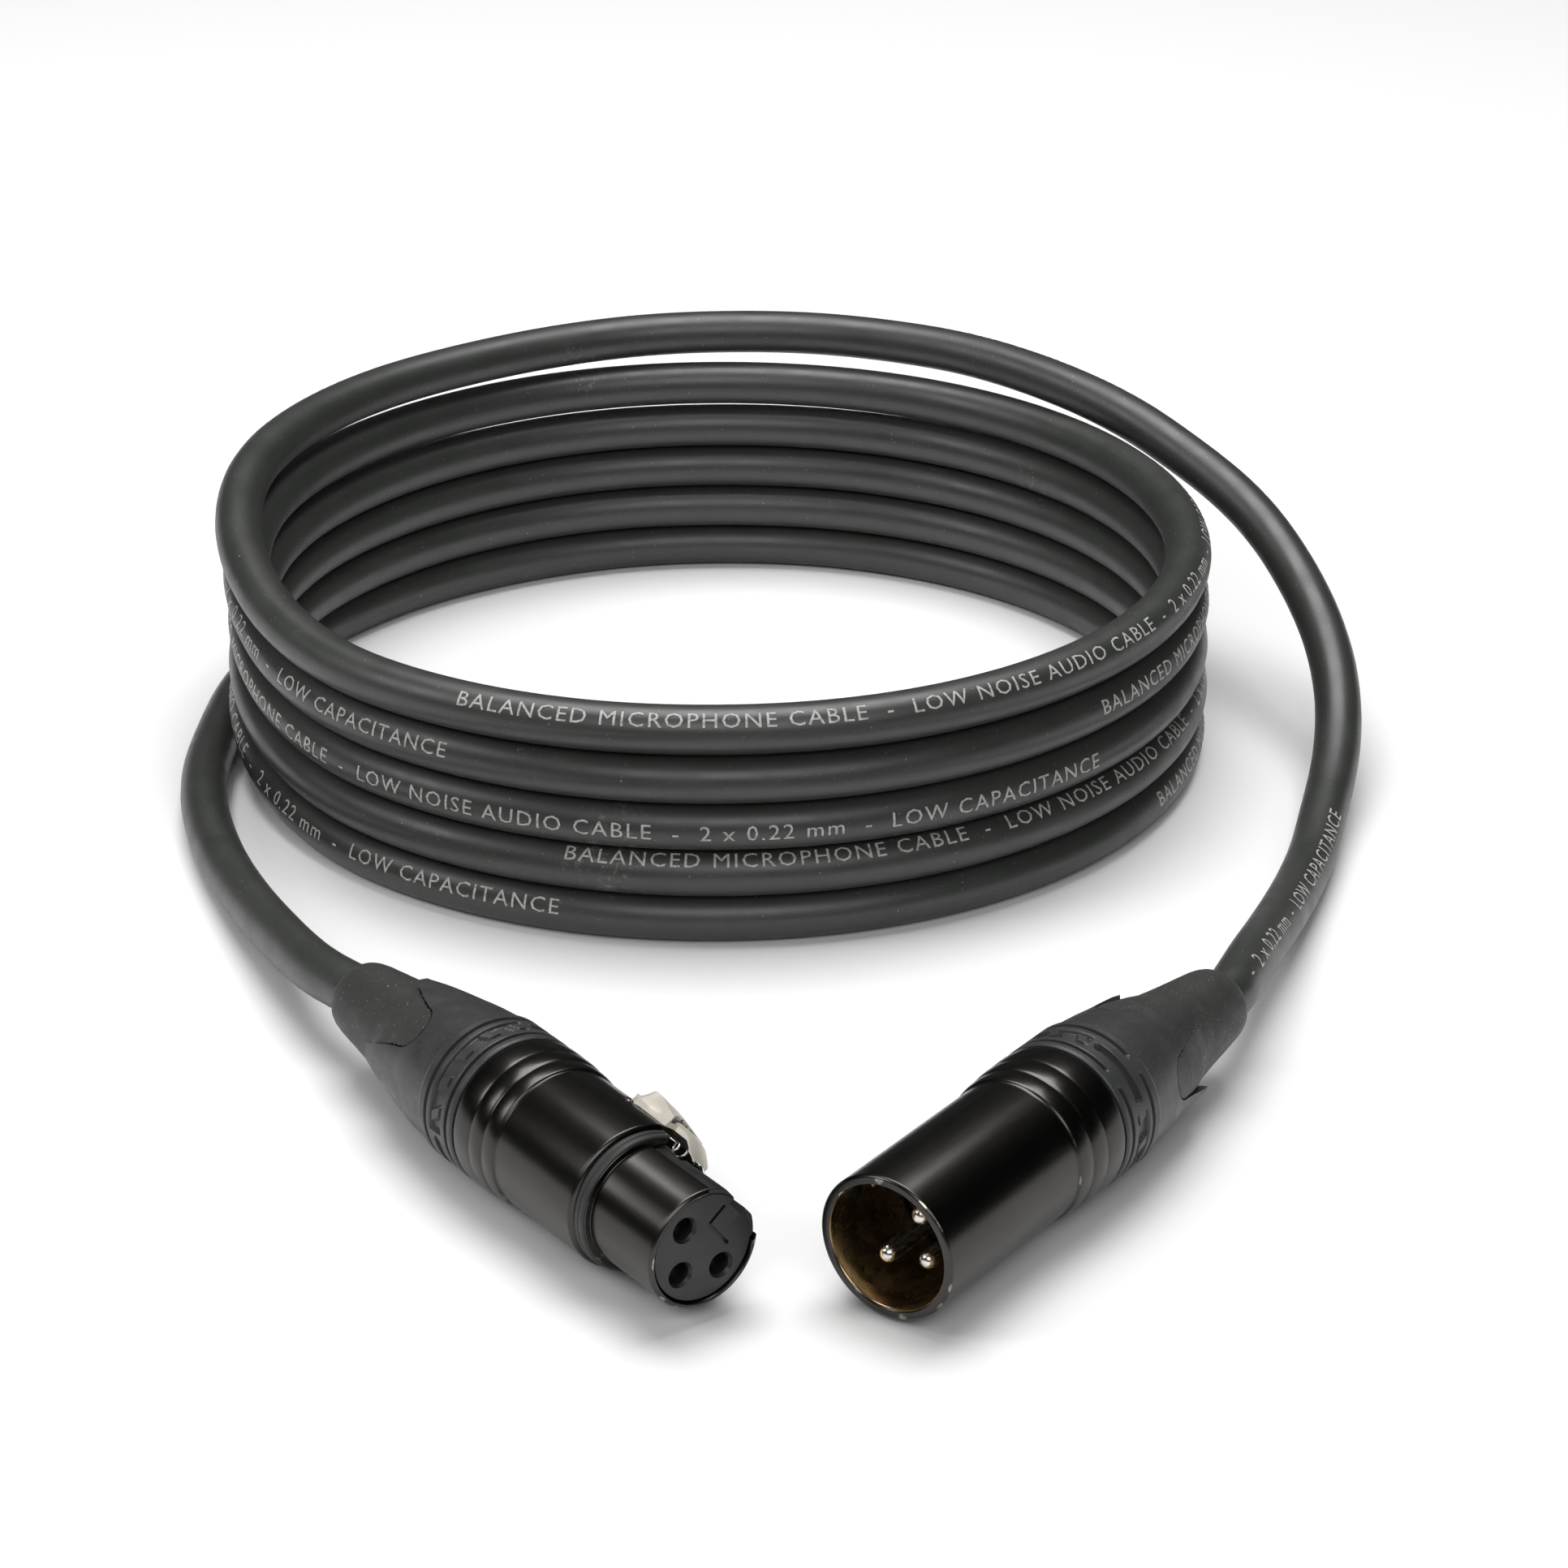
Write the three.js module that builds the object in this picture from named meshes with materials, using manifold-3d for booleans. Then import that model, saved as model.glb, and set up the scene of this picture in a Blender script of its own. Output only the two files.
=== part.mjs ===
// Microphone cable with XLR connectors, wound into a flat-lying coil.
// Millimetres, +Z up. The cable lies on the plane z = 0, and the origin is on that
// plane, midway between the two connectors at the front of the coil.

import * as THREE from 'three';
import { mergeVertices } from 'three/addons/utils/BufferGeometryUtils.js';
import Module from 'manifold-3d';

const wasm = await Module();
wasm.setup();

// ---- driving dimensions ----

const GAP = 0.3; // clearance between neighbouring pieces
const CABLE_R = 3.5; // 7 mm microphone cable
const ROUND = 32; // facets round a shell
const SMALL_ROUND = 16; // facets round a contact or a pin

const COIL_CENTRE = [-10.9, 140.2];
const COIL_R = 71.4; // middle of the wound turns
const COIL_HALF_WIDTH = 4.6;
const COIL_HEIGHT = 35.6; // five turns on top of each other
const COIL_CORNER_R = 3.4;

// Each connector lies on its widest ring. Its own frame has +X from the mating face
// to the cable and +Z towards the keyway.
const AXIS_HEIGHT = 10.2;
const MALE = { tip: [11.3, -30.1], yaw: 53.8, roll: -56.5, shellEnd: 37.3, bushingTurn: 45 };
const FEMALE = { tip: [-9.9, -30.2], yaw: 126.2, roll: 52, shellEnd: 39.7, bushingTurn: 0 };

const BOOT_END = 38.5; // from the end of the shell to the end of the boot
const JACKET_START = -5.9; // where the jacket is stripped, from the end of the shell
const CONTACT_CIRCLE_R = 4.13;

const NOSE_R = 7.8;
const NOSE_LENGTH = 12.8;
const SHOULDER = 14.6; // front rim of the female barrel
const BARREL_R = 9.45;
const RING_R = 10.2;
const NOSE_BORE_R = 6.6;
const REAR_BORE_R = 8.75;
const MOUTH_BORE_R = 8.1;

const LATCH_PIN = [22.3, 8.3]; // along the connector, and out from its axis
const LATCH_PIN_R = 0.45;
const LATCH_HALF_WIDTH = 3.4;
const LATCH_BOSS_HALF_WIDTH = 2.3;
const POCKET_FLOOR = 6.9;

// ---- materials ----

function finish(colour, roughness, metalness) {
  return new THREE.MeshStandardMaterial({ color: colour, roughness, metalness });
}

const blackChrome = () => finish(0x1c1a18, 0.25, 0.9);
const hardPlastic = () => finish(0x252625, 0.5, 0);
const softRubber = () => finish(0x2b2c2a, 0.75, 0);
const jacket = () => finish(0x303330, 0.7, 0);
const satinNickel = () => finish(0xc9c2b2, 0.35, 0.9);
const silver = () => finish(0xd8d6d0, 0.25, 1);
const springWire = () => finish(0xb8b8b4, 0.3, 1);

// ---- solids ----

// A closed mesh as a manifold-3d solid: vertices merged, and the flat triangles that
// a lathe leaves on its axis taken out.
function solid(geometry) {
  const bare = geometry.clone();
  bare.deleteAttribute('normal');
  bare.deleteAttribute('uv');
  const merged = mergeVertices(bare, 1e-4);
  const triangles = [];
  const index = merged.index.array;
  for (let i = 0; i < index.length; i += 3) {
    const [a, b, c] = [index[i], index[i + 1], index[i + 2]];
    if (a !== b && b !== c && c !== a) triangles.push(a, b, c);
  }
  return new wasm.Manifold(new wasm.Mesh({
    numProp: 3,
    vertProperties: new Float32Array(merged.attributes.position.array),
    triVerts: new Uint32Array(triangles),
  }));
}

function geometryOf(manifold) {
  const mesh = manifold.getMesh();
  const geometry = new THREE.BufferGeometry();
  const positions = new THREE.BufferAttribute(new Float32Array(mesh.vertProperties), 3);
  geometry.setAttribute('position', positions);
  geometry.setIndex(new THREE.BufferAttribute(new Uint32Array(mesh.triVerts), 1));
  geometry.computeVertexNormals();
  return geometry;
}

function cut(geometry, ...tools) {
  return geometryOf(tools.reduce((rest, tool) => rest.subtract(solid(tool)), solid(geometry)));
}

function join(geometry, ...others) {
  return geometryOf(others.reduce((whole, other) => whole.add(solid(other)), solid(geometry)));
}

// Turns a closed outline of [x, radius] points about the X axis. The outline runs
// rearwards along the outside and comes back along the bore.
function turned(outline, facets = ROUND) {
  const points = [...outline, outline[0]].map(([x, r]) => new THREE.Vector2(r, x));
  return new THREE.LatheGeometry(points, facets).rotateZ(-Math.PI / 2);
}

// A turned piece whose outline starts and ends on the axis.
function turnedOnAxis(outline, facets = ROUND) {
  const points = outline.map(([x, r]) => new THREE.Vector2(r, x));
  return new THREE.LatheGeometry(points, facets).rotateZ(-Math.PI / 2);
}

function rod(xFrom, xTo, radius, facets = SMALL_ROUND) {
  return turnedOnAxis([[xFrom, 0], [xFrom, radius], [xTo, radius], [xTo, 0]], facets);
}

function box([x0, x1], [y0, y1], [z0, z1]) {
  return new THREE.BoxGeometry(x1 - x0, y1 - y0, z1 - z0)
    .translate((x0 + x1) / 2, (y0 + y1) / 2, (z0 + z1) / 2);
}

// A flat outline of [x, z] points, given thickness along Y.
function plate(outline, yFrom, yTo) {
  const shape = new THREE.Shape(outline.map(([x, z]) => new THREE.Vector2(x, z)));
  return new THREE.ExtrudeGeometry(shape, { depth: yTo - yFrom, bevelEnabled: false })
    .rotateX(Math.PI / 2)
    .translate(0, yTo, 0);
}

// A round tube of solid section along a smooth curve through the points.
function tube(points, radius, steps, sides) {
  const path = new THREE.CatmullRomCurve3(points.map((p) => new THREE.Vector3(...p)), false, 'centripetal');
  const section = new THREE.Shape();
  for (let i = 0; i < sides; i += 1) {
    const angle = (i / sides) * 2 * Math.PI;
    const [x, y] = [radius * Math.cos(angle), radius * Math.sin(angle)];
    if (i === 0) section.moveTo(x, y);
    else section.lineTo(x, y);
  }
  return new THREE.ExtrudeGeometry(section, { steps, extrudePath: path, bevelEnabled: false });
}

// ---- scene helpers ----

const model = new THREE.Group();

function part(parent, name, geometry, material) {
  const mesh = new THREE.Mesh(geometry, material);
  mesh.name = name;
  parent.add(mesh);
  return mesh;
}

function connectorGroup({ tip, yaw, roll }) {
  const group = new THREE.Group();
  group.position.set(tip[0], tip[1], AXIS_HEIGHT);
  group.rotation.order = 'ZYX';
  group.rotation.z = THREE.MathUtils.degToRad(yaw);
  group.rotation.x = THREE.MathUtils.degToRad(roll);
  model.add(group);
  return group;
}

// A point on a connector's axis, x mm behind its mating face, in the model's frame.
function onAxis({ tip, yaw }, x) {
  const angle = THREE.MathUtils.degToRad(yaw);
  return [tip[0] + x * Math.cos(angle), tip[1] + x * Math.sin(angle), AXIS_HEIGHT];
}

// The three contacts: 1 and 2 face each other across the axis, and 3 is opposite
// the keyway.
const CONTACT_ANGLES = [0, 180, -90];

function aroundAxis(geometry, degrees, radius) {
  const angle = THREE.MathUtils.degToRad(degrees);
  return geometry.translate(0, radius * Math.cos(angle), radius * Math.sin(angle));
}

// ---- rear end, the same on both connectors ----

// Radius of the bushing's outside, x mm behind the end of the shell.
const TAPER = [[8, 9.9], [13, 9.45], [18, 8.8], [24, 7.85]];
const TABS_FROM = 13.5; // where the slots between the bushing's tabs begin
const TAB_SLOT_R = 3;
const WALL = 1.5;

function shifted(outline, x) {
  return outline.map(([along, r]) => [along + x, r]);
}

function bushing({ shellEnd, bushingTurn }) {
  const gripRing = [
    [GAP, 10.1], [1.4, 10.15], [1.4, 9.6], [1.9, 9.6], [1.9, 10.15],
    [5.9, 10.15], [5.9, 9.6], [6.4, 9.6], [6.4, 10.1],
  ];
  const inside = TAPER.toReversed().map(([x, r]) => [x, r - WALL]);
  const outline = [
    [-8, 7], [-8, 8.35], [GAP, 8.35], ...gripRing, ...TAPER, ...inside,
    [7.9, 8.3], [7.9, 6.1], [7, 6.1], [3, 7],
  ];
  const slots = [bushingTurn, bushingTurn + 90].map((degrees) => {
    const round = new THREE.CylinderGeometry(TAB_SLOT_R, TAB_SLOT_R, 24, 16)
      .translate(TABS_FROM + TAB_SLOT_R, 0, 0);
    const straight = box([TABS_FROM + TAB_SLOT_R, 26], [-12, 12], [-TAB_SLOT_R, TAB_SLOT_R]);
    return join(round, straight).rotateX(THREE.MathUtils.degToRad(degrees));
  });
  return cut(turned(outline), ...slots).translate(shellEnd, 0, 0);
}

function boot(shellEnd) {
  const underBushing = TAPER.map(([x, r]) => [x, r - WALL - GAP]).slice(1);
  return turned(shifted([
    [8.2, CABLE_R + 0.45], [8.2, 7.95], ...underBushing, [24.3, 6.1], [24.3, 6.8],
    [30, 6.15], [36, 5.4], [37.7, 5], [BOOT_END, 4.4], [BOOT_END, CABLE_R + 0.45],
  ], shellEnd));
}

function chuck(shellEnd) {
  const body = turned(shifted([
    [-8, 5.7], [-8, 6.6], [2, 6.6], [6, 5.6], [6, CABLE_R + 0.4],
    [-2.5, CABLE_R + 0.4], [-6.5, 5.7],
  ], shellEnd), 32);
  const jawSlots = [30, 150, 270].map((degrees) => (
    box([shellEnd - 1, shellEnd + 7], [0, 8], [-0.5, 0.5])
      .rotateX(THREE.MathUtils.degToRad(degrees))
  ));
  return cut(body, ...jawSlots);
}

// One conductor, from its solder cup into the end of the jacket.
function wire(degrees, cupEnd, jacketEnd) {
  const angle = THREE.MathUtils.degToRad(degrees);
  const at = (x, r) => [x, r * Math.cos(angle), r * Math.sin(angle)];
  const points = [
    at(cupEnd - 3, CONTACT_CIRCLE_R), at(cupEnd - 0.6, CONTACT_CIRCLE_R),
    at((cupEnd + jacketEnd) / 2, 2.9), at(jacketEnd - GAP, 1.7),
  ];
  return tube(points, 0.6, 6, 8);
}

function rearEnd(group, prefix, connector, cupEnd) {
  const { shellEnd } = connector;
  part(group, `${prefix}_chuck`, chuck(shellEnd), hardPlastic());
  part(group, `${prefix}_bushing`, bushing(connector), hardPlastic());
  part(group, `${prefix}_boot`, boot(shellEnd), softRubber());
  const wireColours = [0xb9b4a8, 0xb03028, 0xe8e6e0];
  CONTACT_ANGLES.forEach((degrees, i) => {
    const geometry = wire(degrees, cupEnd, shellEnd + JACKET_START);
    part(group, `${prefix}_wire_${i + 1}`, geometry, finish(wireColours[i], 0.6, 0));
  });
}

// A leaf spring that lies between the insert's back and the shell's bore.
function groundSpring(insertEnd) {
  const leaf = [
    [insertEnd + GAP, 5.9], [insertEnd + GAP + 0.4, 5.9], [insertEnd + GAP + 0.4, 7.9],
    [insertEnd + 5, 7.9], [insertEnd + 5, 8.25], [insertEnd + GAP, 8.25],
  ];
  return plate(leaf, -1, 1).rotateX(THREE.MathUtils.degToRad(-45));
}

// ---- female connector ----

const FEMALE_INSERT_END = 24.6;
const FEMALE_CUP_END = 29;

function femaleShell() {
  const end = FEMALE.shellEnd;
  const body = turned([
    [0, NOSE_BORE_R], [0, NOSE_R - 0.5], [0.5, NOSE_R], [NOSE_LENGTH, NOSE_R],
    [NOSE_LENGTH, 8.9], [13.8, 8.9], [SHOULDER, BARREL_R],
    [30.8, BARREL_R], [31.2, 9.75], [33.4, 9.85], [33.8, 10], [36, 10.05], [36.4, RING_R],
    [end - 0.6, RING_R], [end, 10],
    [end, REAR_BORE_R], [FEMALE_INSERT_END - 0.4, REAR_BORE_R], [FEMALE_INSERT_END - 0.4, NOSE_BORE_R],
  ]);
  const keyway = box([-1, 9], [-1.25, 1.25], [POCKET_FLOOR, 9]);
  const pocket = box([8.2, 21.1], [-3.7, 3.7], [POCKET_FLOOR, 12]);
  const pinPocket = box([21, 23.8], [-2.6, 2.6], [POCKET_FLOOR, 12]);
  const thumbSlot = box([21, 24], [-3.7, 3.7], [8.9, 12]);
  const pinHole = new THREE.CylinderGeometry(0.75, 0.75, 9, 12)
    .translate(LATCH_PIN[0], 0, LATCH_PIN[1]);
  return cut(body, keyway, pocket, pinPocket, thumbSlot, pinHole);
}

function femaleInsert() {
  const body = rod(0.5, FEMALE_INSERT_END, NOSE_BORE_R - GAP, 36);
  const holes = CONTACT_ANGLES.map((degrees) => {
    const outline = [[0, 0], [0, 1.45], [1.4, 1.45], [1.4, 2.1], [26, 2.1], [26, 0]];
    return aroundAxis(turnedOnAxis(outline, SMALL_ROUND), degrees, CONTACT_CIRCLE_R);
  });
  const markAlong = box([0, 0.8], [1.65, 1.95], [2.2, 5.4]);
  const markAcross = box([0, 0.8], [-2.7, 1.95], [2.2, 2.5]);
  return cut(body, ...holes, markAlong, markAcross);
}

function socketContact() {
  const end = FEMALE_CUP_END;
  return turnedOnAxis([
    [15, 0], [15, 1.2], [1.7, 1.2], [1.7, 1.6], [17, 1.6], [17, 1.8], [22, 1.8], [22, 1.45],
    [end, 1.45], [end, 0.95], [end - 4, 0.95], [end - 4, 0],
  ], SMALL_ROUND);
}

// The lever's tongue reaches forward over the nose, its thumb pad stands proud of the
// barrel, and its boss turns on the pin.
function latchLever() {
  const tongueAndPad = plate([
    [8.9, 8.1], [11.2, 8.85], [12.4, 9.35], [15.4, 9.5], [20.6, 9.5], [23.7, 9.2],
    [23.7, 9.9], [22.9, 11.8], [22.2, 12.1], [17, 11.4], [15.9, 11],
    [15.7, 10.5], [12.4, 10.2], [11.4, 9.6],
  ], -LATCH_HALF_WIDTH, LATCH_HALF_WIDTH);
  const [x, z] = LATCH_PIN;
  const boss = plate([
    [x - 1.1, z - 0.6], [x - 0.6, z - 1.1], [x + 0.6, z - 1.1], [x + 1.1, z - 0.6],
    [x + 1.1, z + 2], [x - 1.1, z + 2],
  ], -LATCH_BOSS_HALF_WIDTH, LATCH_BOSS_HALF_WIDTH);
  const pinHole = new THREE.CylinderGeometry(0.75, 0.75, 12, 12).translate(x, 0, z);
  const crown = solid(rod(5, 30, 12.15, 64));
  const lever = solid(tongueAndPad).add(solid(boss)).intersect(crown);
  return geometryOf(lever.subtract(solid(pinHole)));
}

function latchPin() {
  return new THREE.CylinderGeometry(LATCH_PIN_R, LATCH_PIN_R, 8.2, 12)
    .translate(LATCH_PIN[0], 0, LATCH_PIN[1]);
}

// A small torsion spring: one leg on the pocket's floor, a coil across the latch,
// and one leg up under the tongue.
function latchSpring() {
  const [coilX, coilZ, coilR, wireR] = [12.6, 7.8, 0.6, 0.17];
  const turns = 2;
  const stepsPerTurn = 8;
  const points = [[18, 1.6, POCKET_FLOOR + 0.3], [14.5, 1.6, coilZ - coilR]];
  for (let i = 0; i <= (turns + 0.5) * stepsPerTurn; i += 1) {
    const angle = -Math.PI / 2 - (i / stepsPerTurn) * 2 * Math.PI;
    const y = 1.4 - (i / stepsPerTurn) * 1.1;
    points.push([coilX + coilR * Math.cos(angle), y, coilZ + coilR * Math.sin(angle)]);
  }
  points.push([14.2, -1.6, 8.5], [17, -1.6, 8.7]);
  return tube(points, wireR, 40, 6);
}

const female = connectorGroup(FEMALE);
part(female, 'female_shell', femaleShell(), blackChrome());
part(female, 'female_insert', femaleInsert(), hardPlastic());
CONTACT_ANGLES.forEach((degrees, i) => {
  const geometry = aroundAxis(socketContact(), degrees, CONTACT_CIRCLE_R);
  part(female, `female_socket_${i + 1}`, geometry, silver());
});
part(female, 'female_ground_spring', groundSpring(FEMALE_INSERT_END), springWire());
part(female, 'latch_lever', latchLever(), satinNickel());
part(female, 'latch_pin', latchPin(), silver());
part(female, 'latch_spring', latchSpring(), springWire());
rearEnd(female, 'female', FEMALE, FEMALE_CUP_END);

// ---- male connector ----

const MALE_INSERT_END = 24;
const MALE_CUP_END = 28;

function maleShell() {
  const end = MALE.shellEnd;
  const body = turned([
    [0, MOUTH_BORE_R + 0.2], [0, 9.15], [0.25, 9.4], [27.3, BARREL_R], [27.7, 9.75],
    [30.2, 9.85], [30.6, 10], [33.2, 10.05], [33.6, RING_R], [end - 0.6, RING_R], [end, 10],
    [end, REAR_BORE_R], [MALE_INSERT_END, REAR_BORE_R], [MALE_INSERT_END, MOUTH_BORE_R],
    [0.3, MOUTH_BORE_R],
  ]);
  const keyRib = box([6.6, 14.6], [-1.05, 1.05], [7, 8.4]);
  const latchWindow = box([2.6, 6], [-2.2, 2.2], [7, 11]);
  return cut(join(body, keyRib), latchWindow);
}

function maleInsert() {
  const body = rod(15, MALE_INSERT_END - 0.2, MOUTH_BORE_R - GAP, 36);
  const holes = CONTACT_ANGLES.map((degrees) => (
    aroundAxis(rod(14, 26, 1.19 + GAP), degrees, CONTACT_CIRCLE_R)
  ));
  return cut(body, ...holes);
}

function malePin() {
  const end = MALE_CUP_END;
  return turnedOnAxis([
    [3, 0], [3, 0.6], [3.5, 1.05], [4.1, 1.19], [24.4, 1.19], [24.4, 1.45],
    [end, 1.45], [end, 0.95], [end - 4, 0.95], [end - 4, 0],
  ], SMALL_ROUND);
}

const male = connectorGroup(MALE);
part(male, 'male_shell', maleShell(), blackChrome());
part(male, 'male_insert', maleInsert(), hardPlastic());
CONTACT_ANGLES.forEach((degrees, i) => {
  part(male, `male_pin_${i + 1}`, aroundAxis(malePin(), degrees, CONTACT_CIRCLE_R), silver());
});
part(male, 'male_ground_spring', groundSpring(MALE_INSERT_END), springWire());
rearEnd(male, 'male', MALE, MALE_CUP_END);

// ---- cable ----

function coilRing() {
  const [inner, outer] = [COIL_R - COIL_HALF_WIDTH, COIL_R + COIL_HALF_WIDTH];
  const r = COIL_CORNER_R;
  const corners = [
    [outer - r, r, -90], [outer - r, COIL_HEIGHT - r, 0],
    [inner + r, COIL_HEIGHT - r, 90], [inner + r, r, 180],
  ];
  const outline = corners.flatMap(([x, z, from]) => [0, 30, 60, 90].map((degrees) => {
    const angle = THREE.MathUtils.degToRad(from + degrees);
    return new THREE.Vector2(x + r * Math.cos(angle), z + r * Math.sin(angle));
  }));
  return new THREE.LatheGeometry([...outline, outline[0]], 56)
    .rotateX(Math.PI / 2)
    .translate(COIL_CENTRE[0], COIL_CENTRE[1], 0);
}

// The route of each loose end, from inside its connector to the coil. The first
// points run straight through the collet and the boot.
const MALE_ROUTE = [
  onAxis(MALE, MALE.shellEnd + JACKET_START),
  onAxis(MALE, MALE.shellEnd + 12),
  onAxis(MALE, MALE.shellEnd + BOOT_END - 8),
  onAxis(MALE, MALE.shellEnd + BOOT_END + 1),
  onAxis(MALE, MALE.shellEnd + BOOT_END + 4),
  [61.5, 43.6, 9.3],
  [66.1, 57.7, 6.7],
  [71.6, 74.7, 4.4],
  [75.9, 88.7, 3.9],
  [78.6, 100, 5],
  [81.2, 109.8, 7],
  [82.8, 118.3, 9.8],
  [83.4, 126.2, 13],
  [82.9, 133.6, 16.5],
  [81.3, 141.3, 20],
  [78.7, 149.4, 23.5],
  [75.2, 157.6, 27],
  [69.8, 166.3, 30.5],
  [62.2, 174.4, 34],
  [57.9, 178.9, 35.9],
  [47.3, 189.2, 38.4],
  [31, 203.3, 39.6],
  [17.6, 210.4, 39.7],
  [4.1, 214.6, 39.7],
  [-9.7, 215.4, 39.7],
  [-23.4, 213.7, 39.7],
  [-36.8, 208.7, 39.7],
  [-49.9, 200.9, 39.7],
];

const FEMALE_ROUTE = [
  onAxis(FEMALE, FEMALE.shellEnd + JACKET_START),
  onAxis(FEMALE, FEMALE.shellEnd + 12),
  onAxis(FEMALE, FEMALE.shellEnd + BOOT_END - 8),
  onAxis(FEMALE, FEMALE.shellEnd + BOOT_END + 2),
  [-62.1, 41, 9.2],
  [-70.1, 58.2, 6.4],
  [-77.1, 74.9, 4.3],
  [-82.4, 89.5, 3.6],
  [-86.1, 103.2, 3.6],
  [-87.8, 117.4, 3.6],
];

part(model, 'cable_coil', coilRing(), jacket());
part(model, 'male_cable_tail', tube(MALE_ROUTE, CABLE_R, 28, 10), jacket());
part(model, 'female_cable_tail', tube(FEMALE_ROUTE, CABLE_R, 14, 10), jacket());

export default model;
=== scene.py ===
"""Looks of a microphone cable with XLR connectors, wound into a coil of stacked turns.

Lengths in the tables below are millimetres, and every mesh is made in metres.
"""

from math import cos, pi, radians, sin

import bmesh
import bpy
import numpy as np
from mathutils import Matrix, Vector


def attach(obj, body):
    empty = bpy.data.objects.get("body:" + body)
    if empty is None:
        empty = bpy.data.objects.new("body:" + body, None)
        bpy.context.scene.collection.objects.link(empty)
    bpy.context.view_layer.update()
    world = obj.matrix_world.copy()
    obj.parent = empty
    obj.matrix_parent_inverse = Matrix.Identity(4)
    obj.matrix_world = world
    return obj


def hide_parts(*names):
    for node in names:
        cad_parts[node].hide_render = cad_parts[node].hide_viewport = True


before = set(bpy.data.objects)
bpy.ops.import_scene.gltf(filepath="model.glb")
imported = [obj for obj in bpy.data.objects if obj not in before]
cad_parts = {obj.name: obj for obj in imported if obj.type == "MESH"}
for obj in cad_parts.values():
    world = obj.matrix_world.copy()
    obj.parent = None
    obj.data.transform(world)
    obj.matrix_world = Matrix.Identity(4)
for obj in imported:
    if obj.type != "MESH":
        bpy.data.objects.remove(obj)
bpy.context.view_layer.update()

MM = 0.001

# ---- driving dimensions, the same as the CAD source ----

CABLE_R = 3.5
AXIS_HEIGHT = 10.2  # of both connectors above the table
MALE = {"tip": (11.3, -30.1), "yaw": 53.8, "roll": -56.5, "shell_end": 37.3}
FEMALE = {"tip": (-9.9, -30.2), "yaw": 126.2, "roll": 52, "shell_end": 39.7}
BOOT_END = 38.5  # behind the shell's end, as JACKET_START is
JACKET_START = -5.9
CONTACT_CIRCLE_R = 4.13
CONTACT_ANGLES = (0, 180, -90)
BARREL_R = 9.45
NOSE_R = 7.8
SHOULDER = 14.6  # behind the female's mating face, where its barrel begins
REAR_BORE_R = 8.75
FEMALE_BORE_R = 7.05
MALE_BORE_R = 8.1
INSERT_R = 6.9
SHELL_EDGE = 0.14  # rounding of the shells' edges
SOCKET_MOUTH = 4.3
LATCH_WINDOW = 3.75  # half the width of the opening round the latch


# ---- camera ----

def make_camera():
    data = bpy.data.cameras.new("camera")
    data.lens = 93.83
    data.sensor_width = 36
    data.clip_end = 20
    camera = bpy.data.objects.new("camera", data)
    camera.location = (-0.0006, -0.4414, 0.2633)
    camera.rotation_euler = (radians(90 - 25.12), 0, 0)
    bpy.context.scene.collection.objects.link(camera)
    bpy.context.scene.camera = camera


# ---- material helpers ----

class Look:
    """A node-based material under construction."""

    def __init__(self, name, colour, roughness, metallic=0.0, specular=0.5):
        self.material = bpy.data.materials.new(name)
        self.material.use_nodes = True
        self.tree = self.material.node_tree
        self.shader = self.tree.nodes["Principled BSDF"]
        self.shader.inputs["Base Color"].default_value = (*colour, 1)
        self.shader.inputs["Roughness"].default_value = roughness
        self.shader.inputs["Metallic"].default_value = metallic
        self.shader.inputs["Specular IOR Level"].default_value = specular
        self.place = self.add("ShaderNodeTexCoord").outputs["Object"]
        self.normal = None

    def add(self, kind, **inputs):
        node = self.tree.nodes.new(kind)
        for name, value in inputs.items():
            self.feed(node.inputs[name.replace("_", " ")], value)
        return node

    def feed(self, socket, value):
        if isinstance(value, bpy.types.NodeSocket):
            self.tree.links.new(value, socket)
        else:
            socket.default_value = value

    def stretched(self, x, y, z):
        """Object coordinates, scaled along each axis."""
        node = self.add("ShaderNodeMapping", Vector=self.place, Scale=(x, y, z))
        return node.outputs["Vector"]

    def noise(self, size, detail=2.0, rough=0.5, place=None):
        """Noise from 0 to 1 whose features are about size millimetres across."""
        node = self.add("ShaderNodeTexNoise", Vector=place or self.place, Scale=1 / (size * MM),
                        Detail=detail, Roughness=rough)
        return node.outputs["Fac"]

    def remap(self, value, low, high, to_low, to_high):
        node = self.add("ShaderNodeMapRange", Value=value)
        node.interpolation_type = "SMOOTHSTEP"
        for socket, number in zip(node.inputs[1:5], (low, high, to_low, to_high)):
            socket.default_value = number
        return node.outputs["Result"]

    def maths(self, operation, a, b):
        node = self.add("ShaderNodeMath")
        node.operation = operation
        self.feed(node.inputs[0], a)
        self.feed(node.inputs[1], b)
        return node.outputs[0]

    def blend(self, amount, a, b):
        node = self.add("ShaderNodeMix")
        node.data_type = "RGBA"
        self.feed(node.inputs[0], amount)
        self.feed(node.inputs[6], a if isinstance(a, bpy.types.NodeSocket) else (*a, 1))
        self.feed(node.inputs[7], b if isinstance(b, bpy.types.NodeSocket) else (*b, 1))
        return node.outputs[2]

    def colour(self, value):
        self.feed(self.shader.inputs["Base Color"], value)

    def roughness(self, value):
        self.feed(self.shader.inputs["Roughness"], value)

    def bump(self, height, depth, strength=1.0):
        """Adds relief; depth is millimetres."""
        node = self.add("ShaderNodeBump", Strength=strength, Distance=depth * MM, Height=height)
        if self.normal:
            self.feed(node.inputs["Normal"], self.normal)
        self.normal = node.outputs["Normal"]
        self.feed(self.shader.inputs["Normal"], self.normal)


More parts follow.
